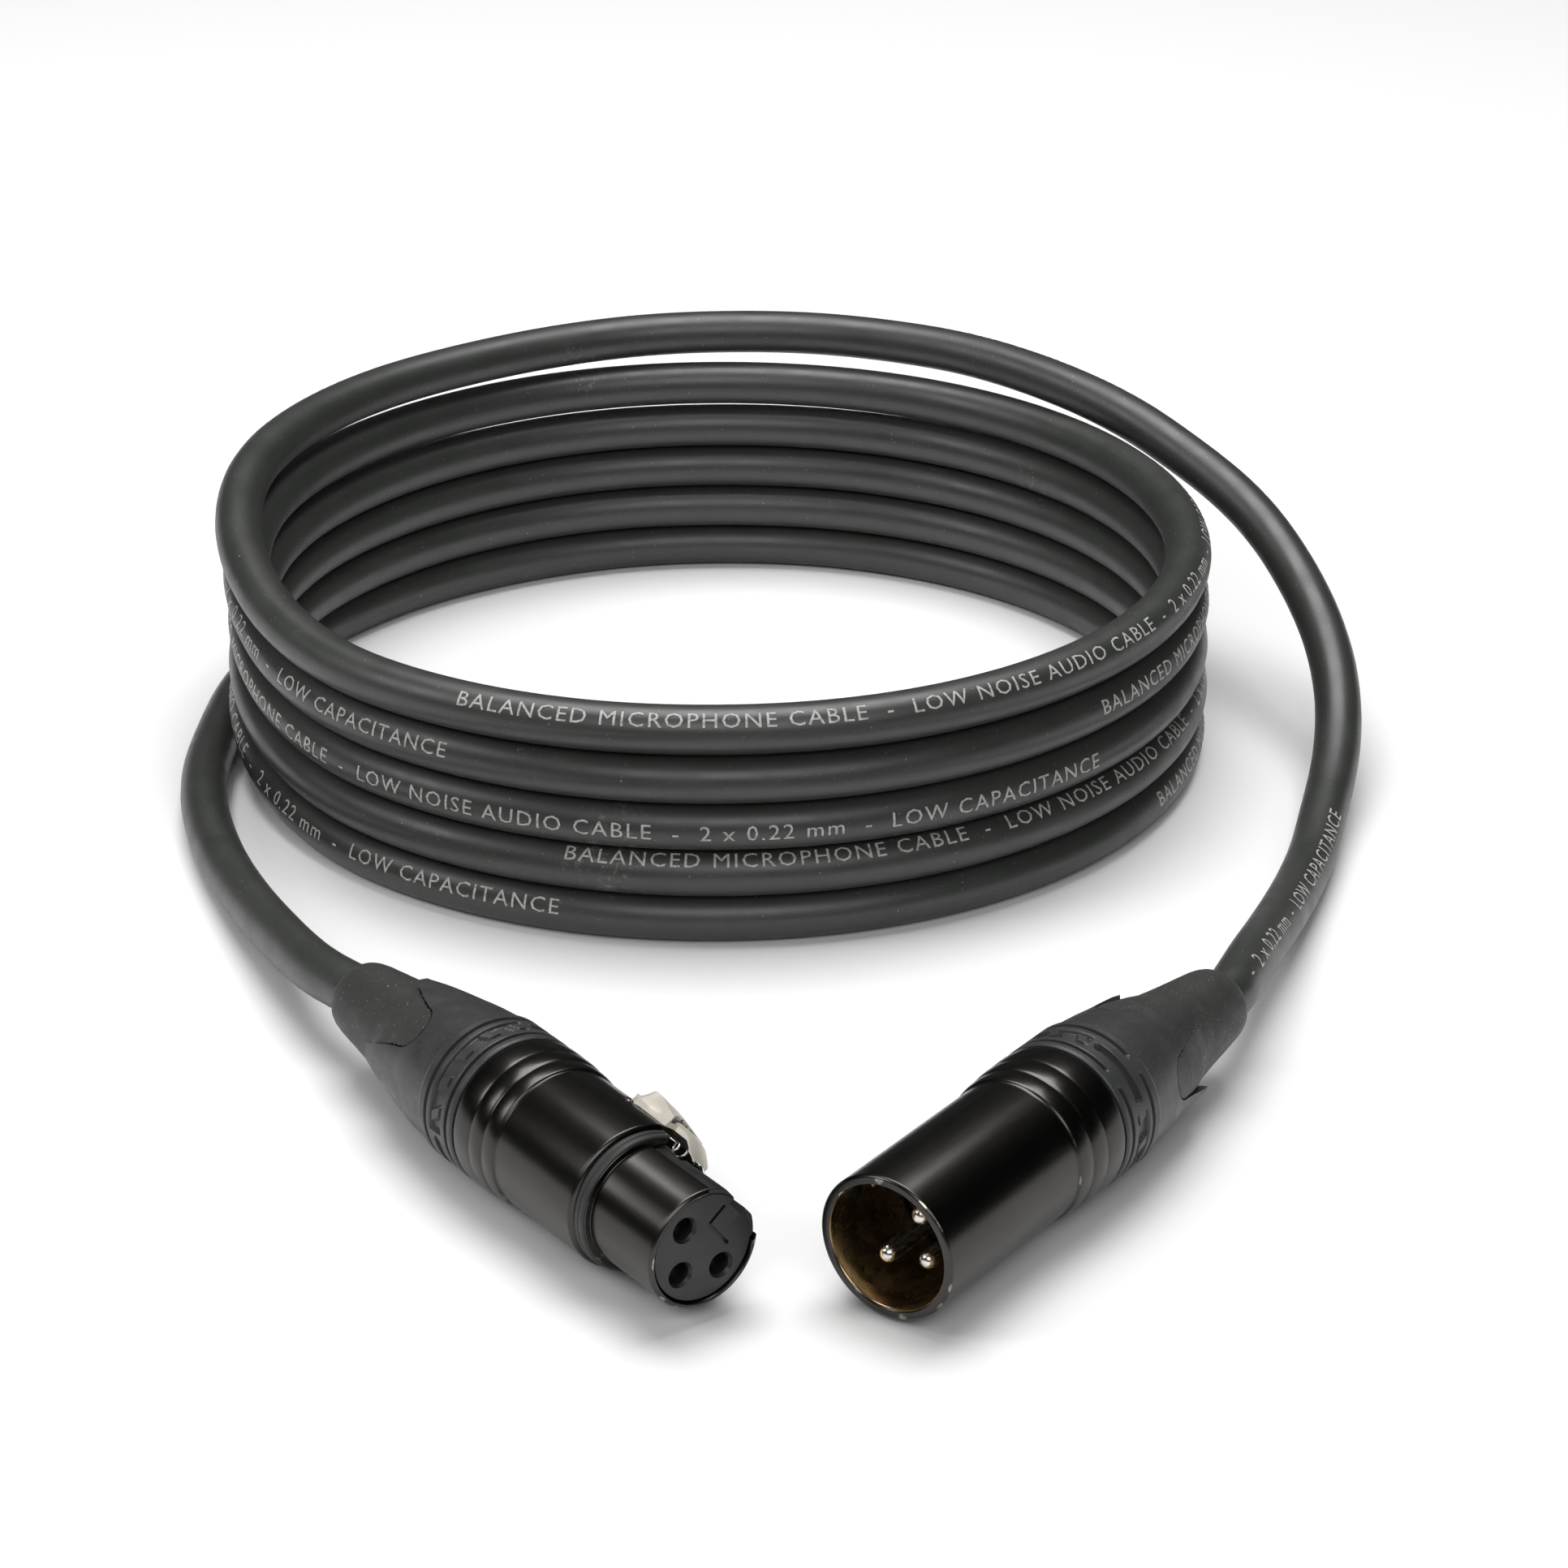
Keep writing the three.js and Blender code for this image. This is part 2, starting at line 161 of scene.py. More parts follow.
def jacket_look():
    look = Look("jacket_pvc", (0.031, 0.034, 0.030), 0.42, specular=0.7)
    cloudy = look.blend(look.noise(9, 4), (0.026, 0.029, 0.026), (0.037, 0.040, 0.036))
    dust = look.remap(look.noise(0.33, 1), 0.755, 0.79, 0, 1)
    dusty = look.blend(dust, cloudy, (0.30, 0.30, 0.28))
    scuff_area = look.remap(look.noise(26, 2), 0.68, 0.76, 0, 1)
    scratches = look.remap(look.noise(1.1, 5, 0.75), 0.52, 0.66, 0, 0.45)
    scuffs = look.maths("MULTIPLY", scuff_area, scratches)
    look.colour(look.blend(scuffs, dusty, (0.26, 0.26, 0.24)))
    look.roughness(look.remap(look.noise(5, 3), 0.3, 0.7, 0.38, 0.46))
    look.bump(look.noise(0.45, 3, 0.6), 0.008)
    look.bump(look.noise(3.5, 2), 0.05, 0.6)
    return look.material


def chrome_look():
    look = Look("black_chrome", (0.06, 0.057, 0.053), 0.2, metallic=1.0)
    cloudy = look.blend(look.noise(6, 3), (0.050, 0.048, 0.045), (0.068, 0.065, 0.060))
    # Convex edges get a lighter metal colour: partly real wear, partly a painted highlight along the
    # rims.
    pointed = look.add("ShaderNodeNewGeometry").outputs["Pointiness"]
    patchy = look.remap(look.noise(1.4, 4, 0.7), 0.35, 0.62, 0.25, 1)
    edge_wear_and_highlight = look.maths("MULTIPLY", look.remap(pointed, 0.53, 0.60, 0, 1), patchy)
    look.colour(look.blend(edge_wear_and_highlight, cloudy, (0.40, 0.38, 0.34)))
    along = look.noise(0.5, 4, 0.7, look.stretched(0.12, 1, 1))
    look.roughness(look.remap(along, 0.3, 0.7, 0.24, 0.27))
    look.bump(look.noise(0.9, 2), 0.0006)
    return look.material


def moulded_look(name, dark, light, rough, grain=0.3, depth=0.012, dust_amount=0.0):
    """Moulded plastic or rubber with a fine grain and some dust."""
    look = Look(name, dark, rough)
    base = look.blend(look.noise(4, 3), dark, light)
    if dust_amount:
        dust = look.remap(look.noise(0.3, 1), 0.71, 0.76, 0, dust_amount)
        base = look.blend(dust, base, (0.34, 0.34, 0.31))
    look.colour(base)
    look.roughness(look.remap(look.noise(2.2, 3), 0.3, 0.7, rough - 0.05, rough + 0.06))
    look.bump(look.noise(grain, 3, 0.6), depth)
    return look.material


def metal_look(name, dark, light, rough, streak=(0.15, 1, 1), grain=0.22):
    """Bare or plated metal with drawing marks along its length."""
    look = Look(name, light, rough, metallic=1.0)
    look.colour(look.blend(look.noise(1.5, 4, 0.6), dark, light))
    marks = look.noise(grain, 3, 0.7, look.stretched(*streak))
    look.roughness(look.remap(marks, 0.3, 0.7, rough - 0.06, rough + 0.08))
    look.bump(marks, 0.0015)
    return look.material


def nickel_look():
    """Satin nickel, dull on the flats, with painted shade making the creases dark."""
    look = Look("latch_nickel", (0.86, 0.81, 0.71), 0.42, metallic=0.4)
    plated = look.blend(look.noise(1.5, 4, 0.6), (0.62, 0.58, 0.50), (0.74, 0.70, 0.61))
    pointed = look.add("ShaderNodeNewGeometry").outputs["Pointiness"]
    # Painted shade: where the surface is hollow, in the creases, the colour turns dark brown-black.
    look.colour(look.blend(look.remap(pointed, 0.38, 0.47, 0, 1), (0.10, 0.08, 0.06), plated))
    marks = look.noise(0.22, 3, 0.7)
    look.roughness(look.remap(marks, 0.3, 0.7, 0.36, 0.48))
    look.bump(marks, 0.003)
    return look.material


def ink_look():
    look = Look("grey_ink", (0.42, 0.42, 0.40), 0.5)
    patchy = look.remap(look.noise(0.5, 4, 0.7), 0.3, 0.6, 0, 1)
    look.colour(look.blend(patchy, (0.24, 0.24, 0.23), (0.52, 0.52, 0.49)))
    look.bump(look.noise(0.3, 2), 0.01)
    return look.material


def floor_look():
    look = Look("floor_paper", (0.92, 0.92, 0.92), 0.9, specular=0.0)
    look.colour(look.blend(look.noise(400, 2), (0.91, 0.91, 0.91), (0.94, 0.94, 0.94)))
    return look.material


LOOKS = {
    "jacket": jacket_look(),
    "ink": ink_look(),
    "chrome": chrome_look(),
    "bore": metal_look("bronze_bore", (0.36, 0.25, 0.12), (0.58, 0.43, 0.24), 0.26,
                       (1, 1, 1), 3),
    "insert": moulded_look("insert_plastic", (0.011, 0.011, 0.011), (0.018, 0.018, 0.017), 0.40),
    "collar": moulded_look("collar_plastic", (0.020, 0.020, 0.020), (0.032, 0.031, 0.030), 0.5),
    # The chuck's plastic, also used as painted shade along the latch's crease.
    "chuck": moulded_look("chuck_plastic", (0.020, 0.020, 0.021), (0.030, 0.030, 0.031), 0.45),
    "bushing": moulded_look("bushing_plastic", (0.030, 0.031, 0.031), (0.045, 0.046, 0.046),
                            0.40, 0.22, 0.010, 0.3),
    "boot": moulded_look("boot_rubber", (0.022, 0.024, 0.021), (0.035, 0.037, 0.033),
                         0.58, 0.25, 0.016, 0.7),
    "silver": metal_look("contact_silver", (0.62, 0.60, 0.56), (0.88, 0.86, 0.82), 0.22),
    "nickel": nickel_look(),
    "spring": metal_look("spring_steel", (0.55, 0.55, 0.54), (0.80, 0.79, 0.76), 0.25),
    "copper": metal_look("screen_copper", (0.55, 0.30, 0.18), (0.80, 0.45, 0.28), 0.35),
    "red": moulded_look("red_insulation", (0.42, 0.03, 0.025), (0.52, 0.05, 0.04), 0.45),
    "white": moulded_look("white_insulation", (0.70, 0.69, 0.66), (0.80, 0.79, 0.76), 0.45),
}


# ---- mesh helpers ----

def link_mesh(name, vertices, faces, look):
    """A closed mesh object from vertices in millimetres."""
    mesh = bpy.data.meshes.new(name)
    mesh.from_pydata((np.asarray(vertices, float) * MM).tolist(), [], faces)
    work = bmesh.new()
    work.from_mesh(mesh)
    bmesh.ops.remove_doubles(work, verts=work.verts, dist=1e-7)
    bmesh.ops.recalc_face_normals(work, faces=work.faces)
    work.to_mesh(mesh)
    work.free()
    mesh.materials.append(LOOKS[look])
    piece = bpy.data.objects.new(name, mesh)
    bpy.context.scene.collection.objects.link(piece)
    return piece


def smooth(piece, angle=35):
    piece.data.shade_smooth()
    piece.data.set_sharp_from_angle(angle=radians(angle))
    return piece


def apply_modifiers(piece):
    bpy.context.view_layer.update()
    depsgraph = bpy.context.evaluated_depsgraph_get()
    mesh = bpy.data.meshes.new_from_object(piece.evaluated_get(depsgraph))
    piece.modifiers.clear()
    old = piece.data
    piece.data = mesh
    bpy.data.meshes.remove(old)
    return piece


def combine(piece, tools, operation):
    for tool in tools:
        step = piece.modifiers.new("step", "BOOLEAN")
        step.operation = operation
        step.solver = "EXACT"
        step.object = tool
    apply_modifiers(piece)
    for tool in tools:
        bpy.data.objects.remove(tool)
    return piece


def soften(outline, radius=0.15, steps=3, closed=True):
    """Rounds every corner of an outline of (x, r) points with a short curve."""
    points = [np.array(p, float) for p in outline]
    count = len(points)
    made = []
    for i, here in enumerate(points):
        if not closed and i in (0, count - 1):
            made.append(here)
            continue
        before, after = points[i - 1], points[(i + 1) % count]
        room = [np.linalg.norm(before - here), np.linalg.norm(after - here)]
        reach = min(radius, 0.45 * min(room))
        start = here + (before - here) * reach / room[0]
        end = here + (after - here) * reach / room[1]
        for k in range(steps + 1):
            t = k / steps
            made.append((1 - t) ** 2 * start + 2 * t * (1 - t) * here + t * t * end)
    return [tuple(p) for p in made]


def turned(name, outline, look, facets=96, closed=True):
    """Turns an outline of (x, r) points about the X axis. r may hold one radius per facet."""
    angles = np.arange(facets) * 2 * pi / facets
    rings = []
    for x, r in outline:
        r = np.broadcast_to(r, facets)
        rings.append(np.stack([np.full(facets, x), r * np.cos(angles), r * np.sin(angles)], 1))
    count = len(rings)
    faces = []
    for i in range(count if closed else count - 1):
        here, there = i * facets, (i + 1) % count * facets
        for j in range(facets):
            k = (j + 1) % facets
            faces.append((here + j, here + k, there + k, there + j))
    return link_mesh(name, np.concatenate(rings), faces, look)


def rod(x0, x1, radius):
    """A round bar along X, as a tool to cut with."""
    outline = [(x0, 0), (x0, radius), (x1, radius), (x1, 0)]
    return turned("rod", outline, "insert", 48, closed=False)


def block(xs, ys, zs):
    """A box between the two values on each axis, as a tool to cut or join with."""
    vertices = [(x, y, z) for x in xs for y in ys for z in zs]
    faces = [(0, 1, 3, 2), (4, 6, 7, 5), (0, 4, 5, 1), (2, 3, 7, 6), (0, 2, 6, 4), (1, 5, 7, 3)]
    return link_mesh("block", vertices, faces, "insert")


def prism(outline, low, high):
    """An outline of (x, y) points, given height along Z."""
    count = len(outline)
    vertices = [(x, y, z) for z in (low, high) for x, y in outline]
    faces = [tuple(range(count)), tuple(range(count, 2 * count))]
    faces += [(i, (i + 1) % count, count + (i + 1) % count, count + i) for i in range(count)]
    return link_mesh("prism", vertices, faces, "insert")


def spun(piece, degrees):
    """Turns a tool's mesh about the X axis."""
    piece.data.transform(Matrix.Rotation(radians(degrees), 4, "X"))
    return piece


def moved(piece, x=0, y=0, z=0):
    piece.data.transform(Matrix.Translation((x * MM, y * MM, z * MM)))
    return piece


def around(piece, degrees):
    """Moves a piece from the axis to its place on the circle of contacts."""
    angle = radians(degrees)
    return moved(piece, 0, CONTACT_CIRCLE_R * cos(angle), CONTACT_CIRCLE_R * sin(angle))


def frames_along(points):
    """Tangent, outward side and up at each point of a path that stays nearly level."""
    tangent = np.gradient(points, axis=0)
    tangent /= np.linalg.norm(tangent, axis=1)[:, None]
    side = np.cross(tangent, (0, 0, 1))
    side /= np.linalg.norm(side, axis=1)[:, None]
    return tangent, side, np.cross(side, tangent)


def smooth_path(points, spacing):
    """Even samples of a centripetal Catmull-Rom curve through the points."""
    points = np.array(points, float)
    ends = 2 * points[0] - points[1], 2 * points[-1] - points[-2]
    p = np.vstack([ends[0], points, ends[1]])
    knots = np.concatenate([[0], np.cumsum(np.linalg.norm(np.diff(p, axis=0), axis=1) ** 0.5)])
    dense = []
    for i in range(1, len(p) - 2):
        t0, t1, t2, t3 = knots[i - 1:i + 3]
        t = np.linspace(t1, t2, 24, endpoint=False)[:, None]
        a1 = ((t1 - t) * p[i - 1] + (t - t0) * p[i]) / (t1 - t0)
        a2 = ((t2 - t) * p[i] + (t - t1) * p[i + 1]) / (t2 - t1)
        a3 = ((t3 - t) * p[i + 1] + (t - t2) * p[i + 2]) / (t3 - t2)
        b1 = ((t2 - t) * a1 + (t - t0) * a2) / (t2 - t0)
        b2 = ((t3 - t) * a2 + (t - t1) * a3) / (t3 - t1)
        dense.append(((t2 - t) * b1 + (t - t1) * b2) / (t2 - t1))
    dense = np.vstack([*dense, points[-1:]])
    return resample(dense, spacing)


def arc_lengths(points):
    return np.concatenate([[0], np.cumsum(np.linalg.norm(np.diff(points, axis=0), axis=1))])


def resample(points, spacing):
    arc = arc_lengths(points)
    even = np.linspace(0, arc[-1], int(round(arc[-1] / spacing)) + 1)
    return np.stack([np.interp(even, arc, points[:, k]) for k in range(3)], 1)


def tube_mesh(name, points, radius, sides, look):
    """A closed round tube; its faces start at the underside."""
    tangent, side, up = frames_along(points)
    angles = np.arange(sides) * 2 * pi / sides - pi / 2
    rings = points[:, None] + radius * (
        np.cos(angles)[None, :, None] * side[:, None] + np.sin(angles)[None, :, None] * up[:, None]
    )
    count = len(points)
    vertices = np.vstack([rings.reshape(-1, 3), points[:1], points[-1:]])
    first, last = count * sides, count * sides + 1
    faces = []
    for i in range(count - 1):
        for j in range(sides):
            k = (j + 1) % sides
            faces.append((i * sides + j, i * sides + k, (i + 1) * sides + k, (i + 1) * sides + j))
    for j in range(sides):
        k = (j + 1) % sides
        faces.append((first, j, k))
        faces.append((last, (count - 1) * sides + k, (count - 1) * sides + j))
    return smooth(link_mesh(name, vertices, faces, look), 60)


# ---- placing pieces ----

def placement(connector):
    x, y = connector["tip"]
    return (
        Matrix.Translation((x * MM, y * MM, AXIS_HEIGHT * MM))
        @ Matrix.Rotation(radians(connector["yaw"]), 4, "Z")
        @ Matrix.Rotation(radians(connector["roll"]), 4, "X")
    )


def on_axis(connector, along):
    """A point on a connector's axis, in millimetres, along mm behind its mating face."""
    angle = radians(connector["yaw"])
    x, y = connector["tip"]
    return (x + along * cos(angle), y + along * sin(angle), AXIS_HEIGHT)


def settle(piece, name, connector, body, slot, *nodes):
    """Names a piece, puts it in its connector's place, and ties it to the frame."""
    piece.name = name
    piece.data.name = name
    piece.matrix_world = placement(connector)
    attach(piece, body)
    if nodes:
        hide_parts(*nodes)
    return piece


# ---- the cable ----

COIL_CENTRE = np.array([-10.4, 140.9])
BACK_HEIGHTS = [39.6, 31.9, 24.5, 17.5, 10.5, 3.5]  # of each turn, from the top one down
FRONT_HEIGHTS = [31.5, 24.5, 17.5, 10.5, 3.5]
TURN_RADII = {  # at the left, the front, the right and the back of each turn
    180: [73.2, 72.3, 71.9, 72.2, 72.6],
    270: [70.6, 71.4, 71.6, 71.9, 71.7],
    360: [71.6, 71.5, 71.6, 71.8, 71.7],
    450: [71.2, 70.5, 70.0, 69.2, 69.6],
}
TURNS = len(FRONT_HEIGHTS)
STEP_FROM, STEP_TO = 165, 225  # degrees round the coil, where each turn drops to the next one
COIL_START, COIL_STEP = 138, 12
# The bottom turn widens into the female end: degrees round the winding, and radius.
LAST_TURN = [(1920, 70), (1950, 72.5), (1965, 74.8), (1975, 76), (1985, 77.2), (1990, 78.2)]

MALE_ROUTE = [
    on_axis(MALE, MALE["shell_end"] + JACKET_START),
    on_axis(MALE, MALE["shell_end"] + 12),
    on_axis(MALE, MALE["shell_end"] + BOOT_END - 8),
    on_axis(MALE, MALE["shell_end"] + BOOT_END + 1),
    on_axis(MALE, MALE["shell_end"] + BOOT_END + 4),
    (61.5, 43.6, 9.3), (66.1, 57.7, 6.7), (71.6, 74.7, 4.4), (75.9, 88.7, 3.9),
    (78.6, 100, 5), (81.2, 109.8, 7), (82.8, 118.3, 9.8), (83.4, 126.2, 13),
    (82.9, 133.6, 16.5), (81.3, 141.3, 20), (78.7, 149.4, 23.5), (75.2, 157.6, 27),
    (69.8, 166.3, 30.5), (62.2, 174.4, 34), (57.9, 178.9, 35.9), (47.3, 189.2, 38.4),
    (31, 203.3, 39.6), (17.6, 210.4, 39.7), (4.1, 214.6, 39.7), (-9.7, 215.4, 39.7),
    (-23.4, 213.7, 39.7), (-36.8, 208.7, 39.7), (-49.9, 200.9, 39.7),
]

FEMALE_ROUTE = [
    on_axis(FEMALE, FEMALE["shell_end"] + JACKET_START),
    on_axis(FEMALE, FEMALE["shell_end"] + 12),
    on_axis(FEMALE, FEMALE["shell_end"] + BOOT_END - 8),
    on_axis(FEMALE, FEMALE["shell_end"] + BOOT_END + 2),
    (-62.1, 41, 9.2), (-70.1, 58.2, 6.4), (-77.1, 74.9, 4.3), (-82.4, 89.5, 3.6),
    (-86.1, 103.2, 3.6), (-87.8, 117.4, 3.6),
]


def coil_height(azimuth):
    """Height of the cable's centre on the coil, whose turns wind downwards."""
    turn = int((azimuth - STEP_FROM) // 360)
    if turn < 0:
        return BACK_HEIGHTS[0]
    if turn >= TURNS:
        return BACK_HEIGHTS[-1]
    past = azimuth - 360 * turn
    if past < STEP_TO:
        t = (past - STEP_FROM) / (STEP_TO - STEP_FROM)
        return BACK_HEIGHTS[turn] + (FRONT_HEIGHTS[turn] - BACK_HEIGHTS[turn]) * t * t * (3 - 2 * t)
    t = (past - STEP_TO) / (360 + STEP_FROM - STEP_TO)
    return FRONT_HEIGHTS[turn] + (BACK_HEIGHTS[turn + 1] - FRONT_HEIGHTS[turn]) * t


def coil_points():
    knots = sorted(
        (quarter + 360 * turn, radius)
        for quarter, radii in TURN_RADII.items()
        for turn, radius in enumerate(radii)
        if quarter + 360 * turn < LAST_TURN[0][0]
    )
    knots = [(132, 72.2), *knots, *LAST_TURN]
    points = []
    for azimuth in np.arange(COIL_START, LAST_TURN[-1][0] + 1, COIL_STEP):
        radius = np.interp(azimuth, *zip(*knots))
        angle = radians(azimuth)
        x, y = COIL_CENTRE + radius * np.array([cos(angle), sin(angle)])
        points.append((x, y, coil_height(azimuth)))
    return points


def eased(points, passes=6, keep=20):
    """Evens out the small kinks, and leaves the straight ends as they are."""
    points = points.copy()
    for _ in range(passes):
        inner = (points[:-2] + 2 * points[1:-1] + points[2:]) / 4
        points[keep:-keep] = inner[keep - 1:len(inner) - keep + 1]
    return points


def cable_path():
    route = MALE_ROUTE + coil_points() + FEMALE_ROUTE[::-1]
    return eased(smooth_path(route, 2.5))


def make_cable(path):
    cable = tube_mesh("cable_jacket", path, CABLE_R, 24, "jacket")
    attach(cable, "cable")
    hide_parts("cable_coil", "male_cable_tail", "female_cable_tail")
    return cable


# ---- the print along the cable ----

PRINT_TEXT = "BALANCED MICROPHONE CABLE  -  LOW NOISE AUDIO CABLE  -  2 x 0.22 mm  -  LOW CAPACITANCE"
PRINT_LENGTH = 175
PRINT_PITCH = 272  # from the start of one phrase to the start of the next
PRINT_CAPS = 2.15  # height of a capital
PRINT_FIRST_AZIMUTH = 241.4  # where the top turn's phrase starts, in degrees round the winding
PRINT_LIFT = 0.03
PRINT_BARE = 1.5  # bare jacket between a boot and the nearest letter
# Degrees round the winding, and how many degrees above level the print lies there.
PRINT_LIE = [
    (-80, 52), (20, 50), (90, 40), (200, 40), (270, 46), (360, 40), (500, 25), (860, 15),
    (990, 4), (1100, 15), (1230, 42), (1350, 52), (1480, 42), (1600, 25), (1940, 20), (1985, -60),
]


def print_strip():
    """One phrase as a flat mesh: vertices (along, up) in millimetres, and faces."""
    curve = bpy.data.curves.new("phrase", "FONT")
    curve.body = PRINT_TEXT
    curve.resolution_u = 2
    curve.space_character = 1.15
    text = bpy.data.objects.new("phrase", curve)
    bpy.context.scene.collection.objects.link(text)
    bpy.context.view_layer.update()
    mesh = bpy.data.meshes.new_from_object(text.evaluated_get(bpy.context.evaluated_depsgraph_get()))
    bpy.data.objects.remove(text)
    work = bmesh.new()
    work.from_mesh(mesh)
    along = [v.co.x for v in work.verts]
    up = [v.co.y for v in work.verts if v.co.x < 0.6]
    stretch = PRINT_LENGTH / (max(along) - min(along))
    caps = PRINT_CAPS / max(up)
    for v in work.verts:
        v.co = ((v.co.x - min(along)) * stretch, v.co.y * caps - PRINT_CAPS / 2, 0)
    for height in np.arange(-1.5, 1.6, 0.4):
        bmesh.ops.bisect_plane(
            work, geom=work.verts[:] + work.edges[:] + work.faces[:],
            plane_co=(0, height, 0), plane_no=(0, 1, 0),
        )
    work.verts.index_update()
    vertices = np.array([v.co[:2] for v in work.verts])
    faces = [tuple(v.index for v in f.verts) for f in work.faces]
    work.free()
    bpy.data.meshes.remove(mesh)
    return vertices, faces


def make_print(path):
    """The phrase again and again along the jacket, clipped where the boots cover it."""
    strip, strip_faces = print_strip()
    arc = arc_lengths(path)
    flat = path[:, :2] - COIL_CENTRE
    azimuth = np.degrees(np.unwrap(np.arctan2(flat[:, 1], flat[:, 0])))
    first = np.interp(PRINT_FIRST_AZIMUTH, azimuth, arc)
    tangent, side, up = frames_along(path)
    free = BOOT_END - JACKET_START + PRINT_BARE
    vertices, faces = [], []
    start = first % PRINT_PITCH - PRINT_PITCH
    while start < arc[-1]:
        along = start + strip[:, 0]
        bare = (along > free) & (along < arc[-1] - free)
        at = np.stack([np.interp(along, arc, path[:, k]) for k in range(3)], 1)
        out = np.stack([np.interp(along, arc, side[:, k]) for k in range(3)], 1)
        rise = np.stack([np.interp(along, arc, up[:, k]) for k in range(3)], 1)
        lie = np.interp(np.interp(along, arc, azimuth), *zip(*PRINT_LIE))
        angle = (np.radians(lie) + strip[:, 1] / CABLE_R)[:, None]
        placed = at + (CABLE_R + PRINT_LIFT) * (np.cos(angle) * out + np.sin(angle) * rise)
        shown = [face for face in strip_faces if bare[list(face)].all()]
        faces += [tuple(i + len(vertices) for i in face) for face in shown]
        vertices += placed.tolist()
        start += PRINT_PITCH
    mesh = bpy.data.meshes.new("cable_print")
    mesh.from_pydata((np.array(vertices) * MM).tolist(), [], faces)
    mesh.materials.append(LOOKS["ink"])
    lettering = bpy.data.objects.new("cable_print", mesh)
    bpy.context.scene.collection.objects.link(lettering)
    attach(lettering, "cable")
    return lettering


# ---- the rear end of a connector ----

# Outlines of the bushing: distance behind the shell's end, and radius.
TAPER = [(8, 9.9), (13, 9.45), (18, 8.8), (24, 7.85)]
BUSHING_BORE = [(7.9, 8.3), (7.9, 6.1), (7, 6.1), (3, 7), (-8, 7), (-8, 8.35), (0.3, 8.35)]
BAND_R = 10.15
TAB_WALL = 1.5
TAB_TIP = 24.4
TAB_LIFT = 0.4  # how far a tab's tip stands proud of the boot's taper
CUTOUT_FROM, CUTOUT_R = 13.5, 3.2
# The cut-outs between the tabs open from a round end: distance, and half the width.
FLARE = [(CUTOUT_FROM + CUTOUT_R, CUTOUT_R), (19, 3.7), (21, 4.3), (22.5, 4.7), (23.6, 5),
         (24.2, 5.15), (25.5, 5.3)]
BUSHING_FACETS = 240
BOOT_FACETS = 200


def taper(b):
    return np.interp(b, *zip(*TAPER))


def cutout_half_width(b):
    """Half the width of the opening between two of the bushing's tabs."""
    round_part = np.sqrt(np.clip(CUTOUT_R ** 2 - (CUTOUT_FROM + CUTOUT_R - b) ** 2, 0, None))
    flared = np.interp(b, *zip(*FLARE))
    return np.where(b < CUTOUT_FROM, 0, np.where(b < CUTOUT_FROM + CUTOUT_R, round_part, flared))


def cutout_tool(degrees):
    round_end = CUTOUT_FROM + CUTOUT_R * (1 - np.cos(np.linspace(0, pi / 2, 10)))
    rows = np.concatenate([round_end, [18, 19, 20, 21, 22, 22.5, 23.1, 23.6, 24.2, 25.5]])
    half = cutout_half_width(rows)
    outline = [*zip(rows, half), *zip(rows[:0:-1], -half[:0:-1])]
    return spun(prism(outline, 3, 13), degrees)


def ramp(value, low, high):
    """0 below low, 1 above high, smooth between."""
    t = np.clip((value - low) / (high - low), 0, 1)
    return t * t * (3 - 2 * t)


def grip_band(b, degrees):
    """Radius of the bushing's front band, with its grooves and its plain raised bars.

    degrees is counted from the middle of the plain stretch, twice round the band."""
    turned_away = np.abs((degrees + 90) % 180 - 90)
    radius = np.full_like(degrees, BAND_R)
    radius -= 0.18 * (1 - ramp(b, 0.3, 0.6)) + 0.12 * ramp(b, 7.7, 8)
    for groove in (1.65, 6.35):
        across = 1 - ramp(abs(b - groove), 0.16, 0.32)
        radius -= 0.65 * across * ramp(turned_away, 7, 8.5)
    slot_half = 0.65 * (1 - ramp(turned_away, 24, 28.5))
    radius -= 0.8 * (1 - ramp(abs(b - 4) - slot_half, -0.12, 0.08)) * (slot_half > 0.02)
    channel = (1 - ramp(abs(b - 4), 1.1, 1.3)) * ramp(turned_away, 32, 34)
    bars = ramp(np.cos(np.radians(degrees * 15) + b * 0.9), 0.15, 0.45)
    bars = bars * (1 - ramp(abs(b - 4), 0.75, 0.92))
    return radius - 0.5 * channel * (1 - bars)


def make_bushing(connector, name, body, slot_turn, cutout_turn):
    """The hard nut: its band, and four tabs that run back over the boot."""
    end = connector["shell_end"]
    facet = np.arange(BUSHING_FACETS) * 360 / BUSHING_FACETS
    front = np.arange(0.3, 8.01, 0.11)
    rear = np.linspace(8.1, TAB_TIP, 60)
    outline = [(b, grip_band(b, facet - slot_turn)) for b in front]
    away = np.abs((facet - cutout_turn) % 90 - 45)  # 0 in the middle of a tab
    for b in rear:
        lifted = TAB_LIFT * max(0, (b - 16) / (TAB_TIP - 16)) * (1 - ramp(away, 14, 30))
        seam = 0.05 * (1 - ramp(np.abs((facet - slot_turn + 90) % 180 - 90), 0.4, 1.1))
        outline.append((b, taper(b) + lifted - seam))
    inside = [(b, float(taper(b)) - TAB_WALL) for b in (TAB_TIP - 0.1, 18, 13)]
    outline += [*inside, *BUSHING_BORE]
    sleeve = turned("bushing", [(b + end, r) for b, r in outline], "bushing",
                    BUSHING_FACETS)
    tools = [moved(cutout_tool(cutout_turn + turn - 90), end) for turn in (0, 90, 180, 270)]
    combine(sleeve, tools, "DIFFERENCE")
    smooth(sleeve, 40)
    return settle(sleeve, f"{name}_bushing_body", connector, body, "bushing_plastic",
                  f"{name}_bushing")


